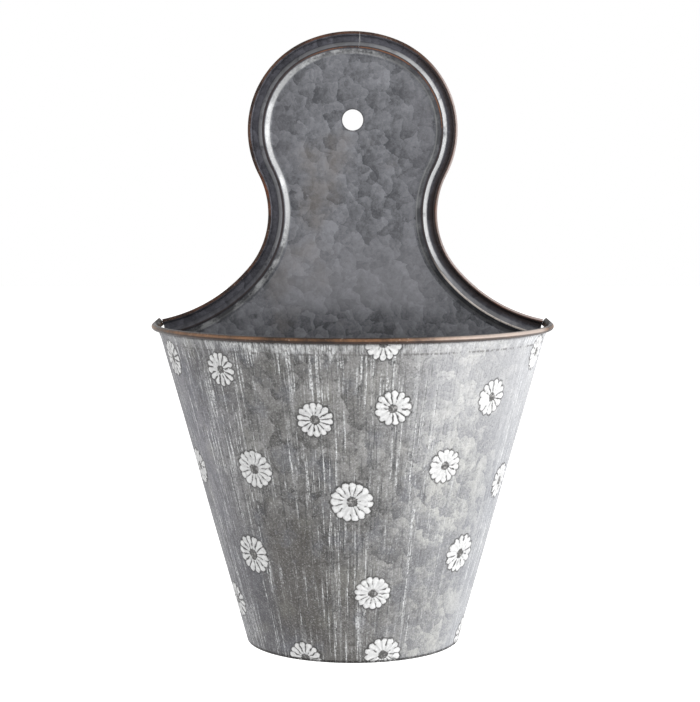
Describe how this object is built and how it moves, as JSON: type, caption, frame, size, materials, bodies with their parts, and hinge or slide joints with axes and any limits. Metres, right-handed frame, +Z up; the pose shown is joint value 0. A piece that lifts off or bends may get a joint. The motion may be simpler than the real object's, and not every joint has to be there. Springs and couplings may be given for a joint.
{
  "type": "wall planter",
  "caption": "Half-round tapered sheet-metal pocket with a rolled rim and embossed daisies, seamed to a flat keyhole-shaped back plate with a hanging hole.",
  "frame": {"origin": "centre of the hanging hole on the wall plane", "axes": "+Z up along the height, +Y into the wall through the hanging hole, +X to the right as seen from the front"},
  "size_m": [0.2406, 0.1205, 0.3658],
  "materials": {
    "panel_sheet": "spangled galvanised",
    "border_sheet": "galvanised with brown patina on the roll",
    "pocket_sheet": "galvanised with whitewash and white daisies",
    "wire": "dull"
  },
  "bodies": {
    "root": {"back_panel": "panel_sheet", "edge_strip_left": "border_sheet", "edge_strip_right": "border_sheet", "front_shell": "pocket_sheet", "rim_wire": "wire", "floor_plate": "panel_sheet"}
  },
  "joints": []
}
